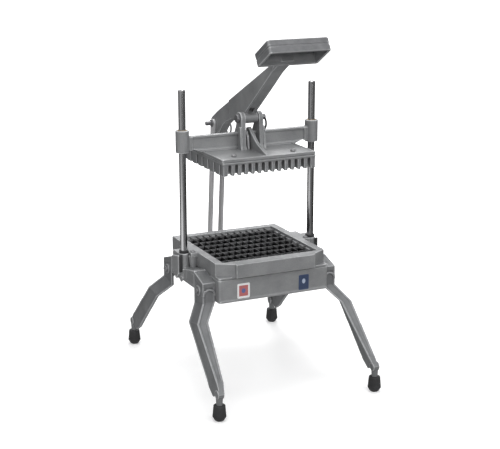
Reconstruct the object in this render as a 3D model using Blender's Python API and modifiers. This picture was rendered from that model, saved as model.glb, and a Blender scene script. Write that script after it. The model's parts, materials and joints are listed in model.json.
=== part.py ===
"""Vegetable dicer: a hand lever drives a finger block down two guide rods, through a square blade grid.

Metres, +Z up. The origin is on the floor, under the middle of the blade grid. +X is to the operator's
right and the operator stands at -Y. The lever is modelled raised; the head travels 165 mm down from there.
"""

import bmesh
import bpy
from math import atan2, cos, pi, radians, sin
from mathutils import Matrix, Vector

# ---- driving dimensions ---------------------------------------------------------------------------
GAP = 0.0003                      # clearance between pieces that touch
RUN = 0.00008                     # radial clearance of a turning or sliding fit

ROD_X = 0.127                     # guide rods stand at +-ROD_X
ROD_R = 0.00635
ROD_TOP = 0.528
ROD_FOOT = 0.190

SKIRT_X, SKIRT_Y = 0.1066, 0.108  # half width and half depth of the base skirt
SKIRT_BOTTOM, SKIRT_TOP = 0.169, 0.210
WALL = 0.005
WING_X, WING_Y, WING_BOTTOM = 0.130, 0.053, 0.185
WING_RISE, WING_RISE_FROM = 0.0068, 0.014 # the wings' tops rise toward the legs, from this Y outward
BOSS_R, BOSS_TOP = 0.009, 0.236
BOSS_LOW, BOSS_REAR = 0.193, 0.031
EAR_PLATE_X, EAR_PLATE_T = 0.138, 0.0055  # the plate on each rod boss's outer side
EAR_PLATE_FRONT = -0.0062
PAD_X, PAD_DEPTH, PAD_Z = (0.1336, 0.1390), 0.003, (0.203, 0.235)  # the rubber strip in front of it
FRAME_SCREW = (0.113, -0.008)     # X, Y of the screw that holds the blade frame down
LINK_LUG_R = 0.011

SCREW_R, BOLT_R = 0.002, 0.003    # shanks of the small screws and of the leg bolts
FRAME_SCREW_LENGTH, PUSHER_SCREW_LENGTH, LEG_BOLT_LENGTH = 0.0315, 0.0125, 0.032
RING_WIRE, RING_R = 0.001, 0.0115 # split rings through the ends of the pins
RING_HOLE = 0.0024

TRAY_FLANGE = 0.0042              # thickness of the blade frame's flange
TRAY_TOP = 0.238
TRAY_LEDGE = 0.233                # the blades sit in slots cut in this ledge
TRAY_IN_LOW, TRAY_IN_TOP = 0.0896, 0.0924
TRAY_FRONT = 0.116                # the front wall stands proud of the skirt
LUG_X, LUG_FRONT, LUG_REAR, LUG_BOTTOM = 0.119, 0.016, 0.040, 0.230

BLADE_T = 0.0012
BLADE_LOW, BLADE_HIGH = 0.224, 0.2355
BLADE_HALF = 0.0921
PITCH_X, COUNT_X = 0.0127, 13     # blades that run front to back
PITCH_Y, COUNT_Y = 0.0254, 7      # blades that run side to side
SLOT_W = 0.0018

BLOCK_HALF = 0.0889
BLOCK_TOP, BLOCK_ROOF, FINGER_TIP = 0.412, 0.408, 0.3885
FINGER_GAP = 0.00635
SCREW_X, SCREW_Y = 4.5 * PITCH_X, 2.5 * PITCH_Y

PLATE_X, PLATE_Y, PLATE_T = 0.090, 0.088, 0.0042
SLEEVE_R, SLEEVE_LOW, SLEEVE_HIGH = 0.012, 0.418, 0.4575
BUSH_R = 0.008
BEAM_T, BEAM_TOP = 0.010, 0.446

LEVER_PIVOT = (-0.006, 0.471)     # Y, Z of the clevis pin
REAR_PIVOT = (0.131, 0.440)       # Y, Z of the pin between the lever and the links
LINK_PIVOT = (0.153, 0.185)       # Y, Z of the pin between the links and the base
PIN_R = 0.005
LINK_PIN_R = 0.004
EAR_IN, EAR_OUT = 0.0135, 0.0215
ARM_HALF, LUG_HALF = 0.0115, 0.0083
LINK_T, LINK_IN = 0.004, 0.0089

GRIP_HALF, GRIP_LENGTH, GRIP_T = 0.056, 0.056, 0.022
GRIP_REAR = (-0.140, 0.601)       # Y, Z of the grip's top rear edge
GRIP_TILT = radians(31)
GRIP_WALL = 0.004

FOOT_X, FOOT_Y, FOOT_H = 0.1505, 0.2057, 0.028
STUD_R, STUD_LOW = 0.005, 0.0165  # the threaded stud that holds a foot
NECK_R, KNOB_R, KNOB_Z = 0.0055, 0.0078, 0.0465
LEG_BOLT_Y, LEG_BOLT_Z = 0.072, 0.187

ROUND = 32                        # sides of the main round pieces


# ---- scene and collections ------------------------------------------------------------------------
def clear_scene():
    for obj in list(bpy.data.objects):
        bpy.data.objects.remove(obj, do_unlink=True)


def collection(name):
    group = bpy.data.collections.new(name)
    bpy.context.scene.collection.children.link(group)
    return group


clear_scene()
PARTS = collection("vegetable_dicer")
CUTTERS = collection("cutters")


def material(name, colour, roughness, metallic):
    mat = bpy.data.materials.new(name)
    mat.use_nodes = True
    shader = mat.node_tree.nodes["Principled BSDF"]
    shader.inputs["Base Color"].default_value = (*colour, 1.0)
    shader.inputs["Roughness"].default_value = roughness
    shader.inputs["Metallic"].default_value = metallic
    return mat


CASTING = dict(colour=(0.25, 0.26, 0.27), roughness=0.5, metallic=0.8)
STEEL = dict(colour=(0.62, 0.62, 0.62), roughness=0.25, metallic=1.0)
BLADE_STEEL = dict(colour=(0.45, 0.45, 0.46), roughness=0.35, metallic=1.0)
DARK_STEEL = dict(colour=(0.05, 0.05, 0.055), roughness=0.4, metallic=0.8)
RUBBER = dict(colour=(0.015, 0.015, 0.016), roughness=0.7, metallic=0.0)
BRONZE = dict(colour=(0.45, 0.32, 0.16), roughness=0.4, metallic=1.0)


# ---- building blocks ------------------------------------------------------------------------------
def link_object(name, mesh, group=PARTS):
    obj = bpy.data.objects.new(name, mesh)
    group.objects.link(obj)
    return obj


def finish(obj, look, smooth=False):
    """Give a part its own material and, if it is round, smooth shading."""
    obj.data.materials.clear()
    obj.data.materials.append(material(obj.name, **look))
    if smooth:
        obj.data.shade_smooth()
        obj.data.set_sharp_from_angle(angle=radians(35))
    return obj


def box(name, low, high, group=CUTTERS):
    """A box between two corners."""
    low, high = Vector(low), Vector(high)
    bm = bmesh.new()
    bmesh.ops.create_cube(bm, size=1.0)
    bmesh.ops.scale(bm, vec=high - low, verts=bm.verts)
    mesh = bpy.data.meshes.new(name)
    bm.to_mesh(mesh)
    bm.free()
    obj = link_object(name, mesh, group)
    obj.location = (low + high) / 2
    return obj


TURN = {"X": (0, pi / 2, 0), "Y": (pi / 2, 0, 0), "Z": (0, 0, 0)}


def cone(name, centre, radius_low, radius_high, length, axis="Z", sides=ROUND, group=CUTTERS):
    """A cylinder or cone whose axis is X, Y or Z, centred on a point."""
    bm = bmesh.new()
    bmesh.ops.create_cone(bm, cap_ends=True, segments=sides, radius1=radius_low,
                          radius2=radius_high, depth=length)
    mesh = bpy.data.meshes.new(name)
    bm.to_mesh(mesh)
    bm.free()
    obj = link_object(name, mesh, group)
    obj.rotation_euler = TURN[axis]
    obj.location = centre
    return obj


def cylinder(name, centre, radius, length, axis="Z", sides=ROUND, group=CUTTERS):
    return cone(name, centre, radius, radius, length, axis, sides, group)


def turned(name, profile, steps=24, group=PARTS):
    """A turned piece: profile points (radius, height), down the outer side, spun about Z."""
    mesh = bpy.data.meshes.new(name)
    edges = [(i, i + 1) for i in range(len(profile) - 1)]
    mesh.from_pydata([(r, 0, z) for r, z in profile], edges, [])
    obj = link_object(name, mesh, group)
    screw = obj.modifiers.new("spin", "SCREW")
    screw.axis = "Z"
    screw.steps = steps
    screw.render_steps = steps
    screw.use_merge_vertices = True
    screw.merge_threshold = 0.00001
    return obj


def as_mesh(obj):
    """Replace an object by its evaluated mesh, with loose caps welded."""
    bpy.context.view_layer.update()
    graph = bpy.context.evaluated_depsgraph_get()
    mesh = bpy.data.meshes.new_from_object(obj.evaluated_get(graph))
    name, matrix, group = obj.name, obj.matrix_world.copy(), obj.users_collection[0]
    bm = bmesh.new()
    bm.from_mesh(mesh)
    bmesh.ops.remove_doubles(bm, verts=bm.verts, dist=0.000001)
    bmesh.ops.recalc_face_normals(bm, faces=bm.faces)
    bm.to_mesh(mesh)
    bm.free()
    bpy.data.objects.remove(obj, do_unlink=True)
    new = link_object(name, mesh, group)
    new.matrix_world = matrix
    return new


PLANES = {"XY": (0, 0, 0), "XZ": (pi / 2, 0, 0), "YZ": (pi / 2, 0, pi / 2)}


def plate(name, outline, thickness, plane="YZ", centre=(0, 0, 0), holes=(), group=CUTTERS):
    """A flat plate: a filled outline in a plane, thickened about its centre."""
    curve = bpy.data.curves.new(name, "CURVE")
    curve.dimensions = "2D"
    curve.fill_mode = "BOTH"
    curve.extrude = thickness / 2
    for loop in (outline, *holes):
        spline = curve.splines.new("POLY")
        spline.points.add(len(loop) - 1)
        for point, (a, b) in zip(spline.points, loop):
            point.co = (a, b, 0, 1)
        spline.use_cyclic_u = True
    obj = link_object(name, curve, group)
    obj.rotation_euler = PLANES[plane]
    obj.location = centre
    return as_mesh(obj)


def arc(centre, radius, start, end, steps):
    """Points on an arc, angles in degrees, from start to end."""
    span = radians(end - start)
    angles = [radians(start) + span * i / steps for i in range(steps + 1)]
    return [(centre[0] + radius * cos(a), centre[1] + radius * sin(a)) for a in angles]


def circle(centre, radius, steps=24):
    return arc(centre, radius, 0, 360 * (steps - 1) / steps, steps - 1)


def combine(name, solids, cutters=(), group=PARTS):
    """Unite solids into one body, cut it, and drop the operands."""
    body = as_mesh(solids[0])
    body.name = name
    for kind, operands in (("UNION", solids[1:]), ("DIFFERENCE", cutters)):
        for operand in operands:
            tool = body.modifiers.new(kind.lower(), "BOOLEAN")
            tool.operation = kind
            tool.solver = "EXACT"
            tool.object = operand
            operand.hide_render = True
            operand.display_type = "WIRE"
    body = as_mesh(body)
    for operand in (*solids[1:], *cutters):
        bpy.data.objects.remove(operand, do_unlink=True)
    for other in list(body.users_collection):
        other.objects.unlink(body)
    group.objects.link(body)
    body.data.name = name
    return body


def both_sides(points):
    """Mirror a chain of (x, y) points to -x, as a closed outline."""
    return points + [(-x, y) for x, y in reversed(points)]


# ---- base -----------------------------------------------------------------------------------------
def rod_boss(side):
    """The column a guide rod stands in: a round front, a web behind it and a plate on its outer side."""
    x, web_top = side * ROD_X, BOSS_TOP - 0.0007
    near, far = sorted((side * (LUG_X + 2 * GAP), side * (ROD_X + BOSS_R - 0.0004)))
    outline = [(EAR_PLATE_FRONT, BOSS_TOP - 0.002), (0.0235, 0.228), (0.0235, 0.206), (0.007, 0.188),
               (EAR_PLATE_FRONT, 0.200)]
    return [
        cylinder("boss", (x, 0, (BOSS_LOW + BOSS_TOP) / 2), BOSS_R, BOSS_TOP - BOSS_LOW),
        cone("boss_foot", (x, 0, WING_BOTTOM + 0.0122), 0.004, 0.0125, 0.024),
        box("boss_web", (near, 0.0007, SKIRT_TOP - 0.001), (far, BOSS_REAR, web_top)),
        plate("ear_plate", outline, EAR_PLATE_T, centre=(side * EAR_PLATE_X, 0, 0)),
    ]


def pad_box(name, side, spare=0, group=CUTTERS):
    """The rubber strip beside a rod boss, or with some spare room the space it sits in."""
    x_low, x_high = sorted((side * (PAD_X[0] - spare), side * (PAD_X[1] + spare)))
    rear = EAR_PLATE_FRONT - 1.5 * GAP
    low = (x_low, rear - PAD_DEPTH - spare, PAD_Z[0] - spare)
    return box(name, low, (x_high, rear + spare, PAD_Z[1] + spare), group)


def base_frame():
    solids = [box("skirt", (-SKIRT_X, -SKIRT_Y, SKIRT_BOTTOM), (SKIRT_X, SKIRT_Y, SKIRT_TOP))]
    hole = TRAY_IN_TOP
    cutters = [
        box("under", (-SKIRT_X + WALL, -SKIRT_Y + WALL, SKIRT_BOTTOM - 0.01),
            (SKIRT_X - WALL, SKIRT_Y - WALL, SKIRT_TOP - WALL)),
        box("through", (-hole, -hole, SKIRT_BOTTOM), (hole, hole, SKIRT_TOP + 0.01)),
    ]
    for side in (-1, 1):
        near, far = sorted((side * (SKIRT_X - WALL / 2), side * WING_X))
        solids.append(box("wing", (near, -WING_Y, WING_BOTTOM), (far, WING_Y, SKIRT_TOP)))
        rise = [(-WING_RISE_FROM, SKIRT_TOP - 0.002), (-WING_RISE_FROM, SKIRT_TOP)]
        rise += [(GAP - WING_Y, SKIRT_TOP + WING_RISE), (GAP - WING_Y, SKIRT_TOP - 0.002)]
        middle, width = (SKIRT_X + WING_X) / 2, WING_X - SKIRT_X - 4 * GAP
        solids.append(plate("wing_rise", rise, width, centre=(side * middle, 0, 0)))
        solids += rod_boss(side)
        cutters.append(pad_box("pad_room", side, GAP))
        for end in (-1, 1):
            cutters.append(cylinder("leg_bolt_hole", (side * SKIRT_X, end * LEG_BOLT_Y, LEG_BOLT_Z),
                                    BOLT_R + GAP, 0.02, "X", 16))
        cutters.append(cylinder("rod_hole", (side * ROD_X, 0, ROD_FOOT - GAP + 0.05), ROD_R + GAP, 0.1))
        x, y = FRAME_SCREW
        cutters.append(cylinder("frame_screw_hole", (side * x, y, SKIRT_TOP), SCREW_R + GAP, 0.03, "Z", 16))
    y, z = LINK_PIVOT
    lug = [(SKIRT_Y - 0.003, z + 2 * LINK_LUG_R), (y, z + LINK_LUG_R)]
    lug += arc((y, z), LINK_LUG_R, 90, -90, 8)[1:]
    lug += [(SKIRT_Y - 0.003, z - 0.014)]
    solids.append(plate("lug", lug, 2 * LUG_HALF))
    cutters.append(cylinder("link_pin_hole", (0, y, z), LINK_PIN_R + GAP, 0.05, "X", 24))
    finish(combine("base_frame", solids, cutters), CASTING)


def blade_frame():
    low = SKIRT_TOP + GAP
    floor = low + TRAY_FLANGE
    solids = [box("flange", (-SKIRT_X, -SKIRT_Y, low), (SKIRT_X, SKIRT_Y, floor))]
    front = [(SKIRT_X, 0.1066), (SKIRT_X, -0.092), (0.0765, -0.1105), (0.0765, -TRAY_FRONT)]
    depth = TRAY_TOP - floor + 0.001
    solids.append(plate("walls", both_sides(front), depth, "XY", (0, 0, TRAY_TOP - depth / 2)))
    small, wide, over = TRAY_IN_LOW, TRAY_IN_TOP, TRAY_TOP + 0.01
    cutters = [
        box("opening", (-small, -small, low - 0.01), (small, small, over)),
        box("rim", (-wide, -wide, TRAY_LEDGE), (wide, wide, over)),
    ]
    reach, bottom, top = TRAY_IN_TOP, BLADE_LOW - GAP, TRAY_LEDGE + 0.001
    for i in range(COUNT_X):
        x = (i - (COUNT_X - 1) / 2) * PITCH_X
        cutters.append(box("slot", (x - SLOT_W / 2, -reach, bottom), (x + SLOT_W / 2, reach, top)))
    for i in range(COUNT_Y):
        y = (i - (COUNT_Y - 1) / 2) * PITCH_Y
        cutters.append(box("slot", (-reach, y - SLOT_W / 2, bottom), (reach, y + SLOT_W / 2, top)))
    for side in (-1, 1):
        near, far = sorted((side * (SKIRT_X - 0.004), side * LUG_X))
        solids.append(box("lug", (near, -LUG_FRONT, LUG_BOTTOM), (far, LUG_REAR, TRAY_TOP)))
        x, y = FRAME_SCREW
        into = LUG_BOTTOM + 0.002
        solids.append(cone("lug_boss", (side * x, y, (low + into) / 2), 0.0055, 0.008, into - low, "Z", 20))
        cutters.append(cylinder("boss_room", (side * ROD_X, 0, TRAY_TOP), BOSS_R + 2 * GAP, 0.1))
        cutters.append(cylinder("screw_hole", (side * x, y, TRAY_TOP), SCREW_R + GAP, 0.1, "Z", 16))
    finish(combine("blade_frame", solids, cutters), CASTING)


def comb(pitch, count, notch_from_top):
    """A blade's outline (along, height): a strip with half-lap notches at each crossing."""
    middle = (BLADE_LOW + BLADE_HIGH) / 2
    edge, root = (BLADE_HIGH, middle - GAP) if notch_from_top else (BLADE_LOW, middle + GAP)
    plain = BLADE_LOW if notch_from_top else BLADE_HIGH
    points = [(-BLADE_HALF, plain), (-BLADE_HALF, edge)]
    for i in range(count):
        at = (i - (count - 1) / 2) * pitch
        left, right = at - SLOT_W / 2, at + SLOT_W / 2
        points += [(left, edge), (left, root), (right, root), (right, edge)]
    return points + [(BLADE_HALF, edge), (BLADE_HALF, plain)]


def blades():
    for i in range(COUNT_X):
        x = (i - (COUNT_X - 1) / 2) * PITCH_X
        outline = comb(PITCH_Y, COUNT_Y, True)
        name = f"blade_lengthwise_{i + 1:02d}"
        finish(plate(name, outline, BLADE_T, "YZ", (x, 0, 0), group=PARTS), BLADE_STEEL)
    for i in range(COUNT_Y):
        y = (i - (COUNT_Y - 1) / 2) * PITCH_Y
        outline = comb(PITCH_X, COUNT_X, False)
        name = f"blade_crosswise_{i + 1:02d}"
        finish(plate(name, outline, BLADE_T, "XZ", (0, y, 0), group=PARTS), BLADE_STEEL)


def guide_rods():
    for name, side in (("left", -1), ("right", 1)):
        chamfer = 0.001
        end = [(0, ROD_TOP), (ROD_R - chamfer, ROD_TOP), (ROD_R, ROD_TOP - chamfer)]
        rod = turned(f"guide_rod_{name}", end + [(ROD_R, ROD_FOOT), (0, ROD_FOOT)], ROUND)
        rod.location.x = side * ROD_X
        finish(rod, STEEL, smooth=True)
        bore, edge, outer = ROD_R + GAP, 0.0079, 0.0086
        low = BOSS_TOP + GAP
        high = low + 0.0048
        outside = [(edge, high), (outer, high - chamfer), (outer, low + chamfer), (edge, low)]
        ring = turned(f"rod_bumper_{name}", [(bore, high), *outside, (bore, low), (bore, high)], 24)
        ring.location.x = side * ROD_X
        finish(ring, RUBBER, smooth=True)
        finish(pad_box(f"rod_pad_{name}", side, group=PARTS), RUBBER)


def screw(name, place, direction, head, shank, look=STEEL):
    """A pan-head screw: head (radius, height) above its seat, shank (radius, length) below it."""
    (head_r, head_h), (shank_r, length) = head, shank
    profile = [(0, head_h), (head_r * 0.75, head_h), (head_r, head_h * 0.55), (head_r, 0), (shank_r, 0)]
    obj = turned(name, profile + [(shank_r, -length), (0, -length)], 16)
    obj.rotation_euler = Vector((0, 0, 1)).rotation_difference(Vector(direction)).to_euler()
    obj.location = place
    return finish(obj, look, smooth=True)


# ---- legs -----------------------------------------------------------------------------------------
# Stations down the leg at +X +Y: outer face X, inner face X, upper edge (Y, Z), lower edge (Y, Z).
LEG_STATIONS = [
    (0.1305, SKIRT_X + GAP, (0.0920, 0.2040), (WING_Y + GAP, 0.2160)),
    (0.1305, SKIRT_X + GAP, (0.0925, 0.1690), (WING_Y + GAP, 0.1600)),
    (0.1515, 0.1308, (0.1173, 0.1419), (0.0772, 0.1340)),
    (0.1530, 0.1400, (0.2010, 0.0644), (0.1660, 0.0470)),
    (0.1535, 0.1440, (0.2140, 0.0480), (0.1850, 0.0350)),
]
LEG_WALL = 0.005
HIP_CAP = 0.006                   # thickness of the wall that closes the top of the leg


def hip_cap(side, end):
    """The wall across the top of a leg, set just inside the leg's outer faces."""
    outer, inner, upper, lower = LEG_STATIONS[0]
    high, low = (upper[0] - GAP, upper[1] - 2 * GAP), (lower[0] + GAP, lower[1] - 2 * GAP)
    outline = [high, low, (low[0], low[1] - HIP_CAP), (high[0], high[1] - HIP_CAP)]
    outline = [(end * y, z) for y, z in outline]
    return plate("hip_cap", outline, outer - inner - 2 * GAP, centre=(side * (outer + inner) / 2, 0, 0))


def leg_section(outer, inner, upper, lower):
    """An angle section: a side flange on the outer face and a front flange along the upper edge."""
    upper, lower = Vector(upper), Vector(lower)
    below = upper + (lower - upper).normalized() * LEG_WALL
    return [(outer, *upper), (inner, *upper), (inner, *below), (outer - LEG_WALL, *below),
            (outer - LEG_WALL, *lower), (outer, *lower)]


def leg_arm(name, side, end):
    bm = bmesh.new()
    rings = []
    for station in LEG_STATIONS:
        ring = [bm.verts.new((side * x, end * y, z)) for x, y, z in leg_section(*station)]
        rings.append(ring)
    count = len(rings[0])
    for first, second in zip(rings, rings[1:]):
        for i in range(count):
            j = (i + 1) % count
            bm.faces.new((first[i], first[j], second[j], second[i]))
    for ring in (rings[0], rings[-1]):
        bm.faces.new(ring[:4])
        bm.faces.new((ring[0], *ring[3:]))
    bmesh.ops.triangulate(bm, faces=bm.faces)
    bmesh.ops.recalc_face_normals(bm, faces=bm.faces)
    mesh = bpy.data.meshes.new(name)
    bm.to_mesh(mesh)
    bm.free()
    return link_object(name, mesh, CUTTERS)


def legs():
    for name, side, end in (("front_left", -1, -1), ("front_right", 1, -1), ("rear_left", -1, 1),
                            ("rear_right", 1, 1)):
        foot_x, foot_y = side * FOOT_X, end * FOOT_Y
        wall_x, out_x = side * (SKIRT_X + GAP), side * (LEG_STATIONS[0][0] - 0.001)
        neck_low = FOOT_H + GAP
        solids = [
            leg_arm("leg_arm", side, end),
            hip_cap(side, end),
            cylinder("knob", (foot_x, foot_y, KNOB_Z), KNOB_R, 0.0105, "X", 20),
            cylinder("neck", (foot_x, foot_y, (neck_low + KNOB_Z) / 2), NECK_R, KNOB_Z - neck_low, sides=16),
            cylinder("stud", (foot_x, foot_y, (STUD_LOW + KNOB_Z) / 2), STUD_R, KNOB_Z - STUD_LOW, sides=16),
            cylinder("bolt_boss", ((wall_x + out_x) / 2, end * LEG_BOLT_Y, LEG_BOLT_Z), 0.010,
                     abs(out_x - wall_x), "X", 20),
        ]
        cutters = [cylinder("bolt_hole", (wall_x, end * LEG_BOLT_Y, LEG_BOLT_Z), BOLT_R + GAP, 0.1, "X", 16)]
        finish(combine(f"leg_{name}", solids, cutters), CASTING)
        seat = (side * (LEG_STATIONS[0][0] + GAP), end * LEG_BOLT_Y, LEG_BOLT_Z)
        screw(f"leg_bolt_{name}", seat, (side, 0, 0), (0.0058, 0.0042), (BOLT_R, LEG_BOLT_LENGTH))
        room, floor = STUD_R + GAP, STUD_LOW - GAP
        outside = [(0.0102, FOOT_H), (0.0119, 0.009), (0.0115, 0.005), (0.0085, 0.0012), (0.005, 0), (0, 0)]
        foot = turned(f"foot_{name}", [(0, floor), (room, floor), (room, FOOT_H)] + outside, 20)
        foot.location = (foot_x, foot_y, 0)
        finish(foot, RUBBER, smooth=True)


# ---- sliding head ---------------------------------------------------------------------------------
def pusher_head():
    plate_low = BLOCK_TOP + GAP
    plate_high = plate_low + PLATE_T
    solids = [box("plate", (-PLATE_X, -PLATE_Y, plate_low), (PLATE_X, PLATE_Y, plate_high))]
    cutters = []
    inner = ROD_X - SLEEVE_R + 0.002
    beam = [(inner, BEAM_TOP), (inner, SLEEVE_LOW + 0.004)]
    beam += arc((inner - 0.012, SLEEVE_LOW + 0.016), 0.012, 0, -90, 4)[1:]
    beam += [(PLATE_X - 0.004, plate_low + 0.002)]
    solids.append(plate("beam", both_sides(beam), BEAM_T, "XZ"))
    for side in (-1, 1):
        middle = (SLEEVE_LOW + SLEEVE_HIGH) / 2
        solids.append(cylinder("sleeve", (side * ROD_X, 0, middle), SLEEVE_R, SLEEVE_HIGH - SLEEVE_LOW))
        cutters.append(cylinder("bush_room", (side * ROD_X, 0, middle), BUSH_R + GAP, 0.1))
        y, z = LEVER_PIVOT
        ear = [(-0.025, plate_high - 0.002), (-0.020, plate_high + 0.008), (y - 0.012, z - 0.014)]
        ear += [(y - 0.0115, z)] + arc((y, z), 0.0115, 180, 0, 8)[1:]
        ear += [(y + 0.0115, z - 0.012), (0.030, plate_high - 0.002)]
        x = side * (EAR_IN + EAR_OUT) / 2
        solids.append(plate("ear", ear, EAR_OUT - EAR_IN, centre=(x, 0, 0)))
        for end in (-1, 1):
            seat = (side * SCREW_X, end * SCREW_Y, plate_high)
            cutters.append(cylinder("screw_room", seat, SCREW_R + GAP, 0.03, "Z", 16))
    gusset = [(0.004, plate_high - 0.002), (0.004, 0.452), (-0.006, 0.455), (-0.026, 0.440), (-0.040, 0.431),
              (-0.082, plate_high), (-0.082, plate_high - 0.002)]
    solids.append(plate("gusset", gusset, 0.006))
    cutters.append(cylinder("pin_room", (0, *LEVER_PIVOT), PIN_R + GAP, 0.1, "X", ROUND))
    return finish(combine("pusher_head", solids, cutters), CASTING)


def pusher_block():
    solids = [box("block", (-BLOCK_HALF, -BLOCK_HALF, FINGER_TIP), (BLOCK_HALF, BLOCK_HALF, BLOCK_TOP))]
    cutters = []
    for count, pitch, along_y in ((COUNT_X, PITCH_X, True), (COUNT_Y, PITCH_Y, False)):
        for i in range(count):
            at = (i - (count - 1) / 2) * pitch
            low, high = at - FINGER_GAP / 2, at + FINGER_GAP / 2
            corners = ((low, -0.1), (high, 0.1)) if along_y else ((-0.1, low), (0.1, high))
            cutters.append(box("gap", (*corners[0], FINGER_TIP - 0.01), (*corners[1], BLOCK_ROOF)))
    for x in (-SCREW_X, SCREW_X):
        for y in (-SCREW_Y, SCREW_Y):
            cutters.append(cylinder("screw_room", (x, y, BLOCK_TOP), SCREW_R + GAP, 0.0166, "Z", 12))
    return finish(combine("pusher_block", solids, cutters), STEEL)


def pusher():
    pieces = [pusher_head(), pusher_block()]
    seat = BLOCK_TOP + 2 * GAP + PLATE_T
    for end_name, end in (("front", -1), ("rear", 1)):
        for side_name, side in (("left", -1), ("right", 1)):
            name, place = f"pusher_screw_{end_name}_{side_name}", (side * SCREW_X, end * SCREW_Y, seat)
            pieces.append(screw(name, place, (0, 0, 1), (0.0046, 0.0038), (SCREW_R, PUSHER_SCREW_LENGTH)))
    for name, side in (("left", -1), ("right", 1)):
        bore, top, bottom = ROD_R + RUN, SLEEVE_HIGH, SLEEVE_LOW
        profile = [(bore, top), (BUSH_R, top), (BUSH_R, bottom), (bore, bottom), (bore, top)]
        bush = turned(f"sleeve_bushing_{name}", profile, ROUND)
        bush.location.x = side * ROD_X
        pieces.append(finish(bush, BRONZE, smooth=True))
    y, z = LEVER_PIVOT
    solids = [cylinder("shank", (0.0015, y, z), PIN_R, 0.057, "X")]
    solids.append(cylinder("pin_head", (-0.0245, y, z), 0.0072, 0.005, "X"))
    hole = cylinder("ring_hole", (0.0265, y, z), RING_HOLE, 0.02, "Y", 12)
    pieces.append(finish(combine("lever_pin", solids, [hole]), DARK_STEEL, smooth=True))
    pieces.append(ring("lever_pin_clip", (0.0265, y, z)))
    return pieces


def ring(name, through):
    """A split-ring clip hanging through a cross hole, in the YZ plane."""
    curve = bpy.data.curves.new(name, "CURVE")
    curve.dimensions = "3D"
    curve.bevel_depth = RING_WIRE
    curve.bevel_resolution = 1
    steps = 20
    spline = curve.splines.new("POLY")
    spline.points.add(steps - 1)
    for i, point in enumerate(spline.points):
        angle = 2 * pi * i / steps
        point.co = (0, RING_R * sin(angle), RING_R * (cos(angle) - 1), 1)
    spline.use_cyclic_u = True
    obj = link_object(name, curve)
    obj.location = through
    return finish(as_mesh(obj), DARK_STEEL, smooth=True)


# ---- lever and links ------------------------------------------------------------------------------
def grip_point(along, down):
    """Y, Z of a point in the grip's own frame: along its top from the rear edge, and down from it."""
    return (GRIP_REAR[0] - along * cos(GRIP_TILT) - down * sin(GRIP_TILT),
            GRIP_REAR[1] + along * sin(GRIP_TILT) - down * cos(GRIP_TILT))


def grip_box(name, half, along, down):
    """A box in the grip's own frame, between two distances along it and two below its top."""
    length, depth = along[1] - along[0], down[1] - down[0]
    solid = box(name, (-half, -length / 2, -depth / 2), (half, length / 2, depth / 2))
    solid.location = (0, *grip_point(sum(along) / 2, sum(down) / 2))
    solid.rotation_euler = (-GRIP_TILT, 0, 0)
    return solid


def lever():
    top_slope = 0.495
    knee = (0.114, 0.4665)

    def top(y):
        return knee[1] + (knee[0] - y) * top_slope

    y, z = LEVER_PIVOT
    end = (0.131, 0.4360)
    under = [(-0.168, 0.596), (-0.150, 0.587), (-0.116, 0.566), (-0.014, 0.4855)]
    belly = [(0.006, 0.4665), (0.029, 0.4655), (0.054, 0.460), (0.080, 0.4515), (0.094, 0.443)]
    belly += [(0.110, 0.4265)]
    web = [knee, (-0.150, top(-0.150)), (-0.168, 0.606)] + under + belly
    web += arc(end, 0.0185, 225, 405, 10)
    solids = [plate("web", web, 2 * LUG_HALF)]
    front = [(0.060, top(0.060)), (-0.150, top(-0.150)), (-0.168, 0.606)] + under + belly[:3]
    solids.append(plate("arm", front, 2 * ARM_HALF))
    solids.append(cylinder("barrel", (0, y, z), 0.0095, 2 * (EAR_IN - 0.0004), "X"))
    w = GRIP_WALL
    outside = grip_box("grip", GRIP_HALF, (0, GRIP_LENGTH), (0, GRIP_T))
    palm = grip_box("palm", GRIP_HALF - w, (w, GRIP_LENGTH - w), (w, 2 * GRIP_T))
    solids.append(combine("hand_grip", [outside], [palm], CUTTERS))
    reach = (w + 0.002, GRIP_LENGTH - w - GAP)
    room = grip_box("palm_room", GRIP_HALF - w - GAP, reach, (w + GAP, 2 * GRIP_T))
    channel = [(-0.060, top(-0.060) - 0.012), (0.010, top(0.010) - 0.010), (0.002, 0.489), (-0.016, 0.475),
               (-0.052, 0.500)]
    cutters = [
        room,
        plate("channel", channel, 0.013),
        cylinder("pin_room", (0, y, z), PIN_R + RUN, 0.1, "X"),
        cylinder("rear_room", (0, *REAR_PIVOT), PIN_R + GAP, 0.1, "X"),
    ]
    arm = combine("lever", solids, cutters)
    pin = cylinder("rear_pin", (0, *REAR_PIVOT), PIN_R, 2 * LUG_HALF, "X", group=PARTS)
    return [finish(arm, CASTING), finish(pin, DARK_STEEL, smooth=True)]


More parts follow.
